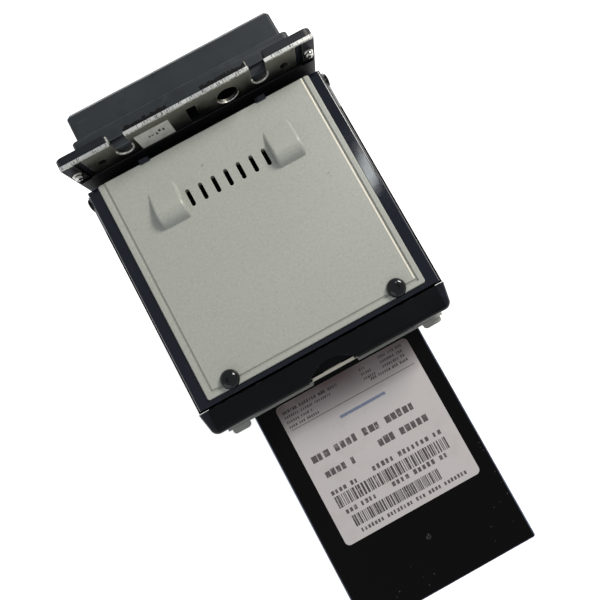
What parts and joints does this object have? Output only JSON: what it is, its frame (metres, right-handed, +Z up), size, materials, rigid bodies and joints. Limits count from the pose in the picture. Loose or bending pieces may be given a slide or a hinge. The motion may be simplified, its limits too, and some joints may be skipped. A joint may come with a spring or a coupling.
{
  "type": "bill validator",
  "caption": "Banknote validator with bezel mouth, hinged metering head, rack-driven stacker and a removable lockable note cassette with side door and folding handle.",
  "frame": {"origin": "bottom centre of the overall box, on the surface that the base tray stands on", "axes": "+X to the right seen from the bezel, +Y from the bezel to the rear, +Z up"},
  "size_m": [0.132, 0.304, 0.2785],
  "materials": {
    "lid_paint": "fine-grained satin light grey paint",
    "gloss_black": "glossy black moulding with a faint blue cast",
    "bezel_plastic": "matte dark slate moulding",
    "guide_plastic": "matte black moulding",
    "zinc_sheet": "zinc-plated sheet",
    "chassis_steel": "zinc-plated sheet",
    "black_steel": "semi-gloss black powder coat",
    "grey_paint": "satin mid grey paint",
    "light_guide": "frosted clear acrylic",
    "clear_window": "clear red-tinted sensor window",
    "bright_screw": "bright plated screw",
    "black_screw": "glossy black oxide",
    "shaft_steel": "ground steel",
    "bearing_brass": "turned brass",
    "circuit_board": "green solder mask",
    "belt_rubber": "matte black belt",
    "roller_rubber": "matte dark grey rubber",
    "gear_nylon": "natural nylon",
    "motor_steel": "plated motor can",
    "connector_plastic": "ivory connector moulding",
    "spring_steel": "bright spring wire",
    "latch_steel": "bright plated steel",
    "lock_chrome": "polished chrome",
    "label_paper": "satin white label with grey print",
    "sticker_paper": "aged white paper sticker"
  },
  "bodies": {
    "chassis": {"base_tray": "chassis_steel", "side_plate_left": "black_steel", "side_plate_right": "black_steel", "mount_bracket": "zinc_sheet", "bezel": "bezel_plastic", "mouth_light_guide": "light_guide", "bracket_screws": "bright_screw", "entry_guide": "guide_plastic", "front_cover": "black_steel", "turn_housing": "gloss_black", "rear_cross_member": "grey_paint", "tie_rods": "shaft_steel", "side_screws": "bright_screw", "shaft_bearings": "bearing_brass", "hinge_pins": "black_screw", "lower_guide": "guide_plastic", "lower_windows": "clear_window", "lower_sensor_board": "circuit_board", "transport_belt": "belt_rubber", "gear_plate": "zinc_sheet", "feed_motor": "motor_steel", "stacker_motor_plate": "zinc_sheet", "stacker_motor": "motor_steel", "stacker_frame": "guide_plastic", "main_board": "circuit_board", "harness_connector": "connector_plastic", "harness_pins": "bearing_brass", "latch_springs": "spring_steel"},
    "front_drive": {"front_drive_shaft": "shaft_steel", "front_drive_rollers": "roller_rubber", "front_gear": "gear_nylon"},
    "rear_drive": {"rear_drive_shaft": "shaft_steel", "rear_drive_rollers": "roller_rubber"},
    "idler": {"idler_gear": "gear_nylon"},
    "feed_pinion": {"motor_pinion": "bearing_brass"},
    "stacker_drive": {"stacker_shaft": "shaft_steel", "stacker_gear": "gear_nylon"},
    "stacker_pinion": {"stacker_motor_pinion": "bearing_brass"},
    "pusher": {"pusher_plate": "zinc_sheet", "pusher_racks": "gear_nylon"},
    "upper_head": {"lid_panel": "lid_paint", "lid_screws": "black_screw", "head_frame": "gloss_black", "upper_guide": "guide_plastic", "upper_windows": "clear_window", "upper_sensor_board": "circuit_board", "pinch_axles": "black_screw"},
    "front_pinch": {"front_pinch_rollers": "roller_rubber"},
    "rear_pinch": {"rear_pinch_rollers": "roller_rubber"},
    "latch": {"latch_plate": "latch_steel"},
    "cassette": {"cassette_shell": "black_steel", "door_hinge_pins": "shaft_steel", "pressure_springs": "spring_steel", "lock_body": "lock_chrome", "handle_brackets": "black_steel", "cassette_label": "label_paper"},
    "cassette_door": {"side_door": "black_steel"},
    "pressure": {"pressure_plate": "zinc_sheet"},
    "lock": {"lock_plug": "lock_chrome"},
    "handle": {"carry_handle": "shaft_steel"}
  },
  "joints": [
    {"name": "upper_head_hinge", "type": "hinge", "parent": "chassis", "child": "upper_head", "pos_m": [0, -0.106, 0.255], "axis": [1, 0, 0], "range_deg": [0, 60]},
    {"name": "latch_slide", "type": "slide", "parent": "chassis", "child": "latch", "axis": [0, 1, 0], "range_m": [0, 0.003], "stiffness_N_per_m": 400, "springref_m": -0.001, "deforming": ["latch_springs"]},
    {"name": "front_drive_spin", "type": "hinge", "parent": "chassis", "child": "front_drive", "pos_m": [0, -0.086, 0.2315], "axis": [1, 0, 0], "continuous": true},
    {"name": "idler_spin", "type": "hinge", "parent": "chassis", "child": "idler", "pos_m": [0, -0.0769, 0.21574], "axis": [1, 0, 0], "continuous": true},
    {"name": "feed_pinion_spin", "type": "hinge", "parent": "chassis", "child": "feed_pinion", "pos_m": [0, -0.06903, 0.2021], "axis": [1, 0, 0], "continuous": true},
    {"name": "rear_drive_spin", "type": "hinge", "parent": "chassis", "child": "rear_drive", "pos_m": [0, 0.0015, 0.2285], "axis": [1, 0, 0], "continuous": true},
    {"name": "front_pinch_spin", "type": "hinge", "parent": "upper_head", "child": "front_pinch", "pos_m": [0, -0.086, 0.2484], "axis": [1, 0, 0], "continuous": true},
    {"name": "rear_pinch_spin", "type": "hinge", "parent": "upper_head", "child": "rear_pinch", "pos_m": [0, -0.003, 0.24531], "axis": [1, 0, 0], "continuous": true},
    {"name": "pusher_slide", "type": "slide", "parent": "chassis", "child": "pusher", "axis": [0, 1, 0], "range_m": [0, 0.036]},
    {"name": "stacker_shaft_turn", "type": "hinge", "parent": "chassis", "child": "stacker_drive", "pos_m": [0, -0.03, 0.13], "axis": [1, 0, 0], "range_deg": [-229.5, 0]},
    {"name": "stacker_pinion_turn", "type": "hinge", "parent": "chassis", "child": "stacker_pinion", "pos_m": [0, -0.03, 0.11075], "axis": [1, 0, 0], "range_deg": [0, 612]},
    {"name": "cassette_slide", "type": "slide", "parent": "chassis", "child": "cassette", "axis": [0, 1, 0], "range_m": [0, 0.13]},
    {"name": "side_door_hinge", "type": "hinge", "parent": "cassette", "child": "cassette_door", "pos_m": [0.0526, 0.0253, 0.115], "axis": [0, 0, -1], "range_deg": [0, 90]},
    {"name": "lock_turn", "type": "hinge", "parent": "cassette", "child": "lock", "pos_m": [0.034, 0.14, 0.15], "axis": [0, -1, 0], "range_deg": [0, 90]},
    {"name": "handle_fold", "type": "hinge", "parent": "cassette", "child": "handle", "pos_m": [0, 0.1493, 0.119], "axis": [1, 0, 0], "range_deg": [0, 100]},
    {"name": "pressure_plate_slide", "type": "slide", "parent": "cassette", "child": "pressure", "axis": [0, 1, 0], "range_m": [0, 0.036], "deforming": ["pressure_springs"]}
  ],
  "couplings": [
    {"joint": "idler_spin", "follows": "front_drive_spin", "ratio": -0.73333},
    {"joint": "feed_pinion_spin", "follows": "front_drive_spin", "ratio": 1.4667},
    {"joint": "rear_drive_spin", "follows": "front_drive_spin", "ratio": 0.75},
    {"joint": "front_pinch_spin", "follows": "front_drive_spin", "ratio": -1.2},
    {"joint": "rear_pinch_spin", "follows": "front_drive_spin", "ratio": -1.8},
    {"joint": "stacker_shaft_turn", "follows": "pusher_slide", "rad_per_m": -111.11},
    {"joint": "stacker_pinion_turn", "follows": "pusher_slide", "rad_per_m": 296.3},
    {"joint": "pressure_plate_slide", "follows": "pusher_slide", "ratio": 1}
  ]
}
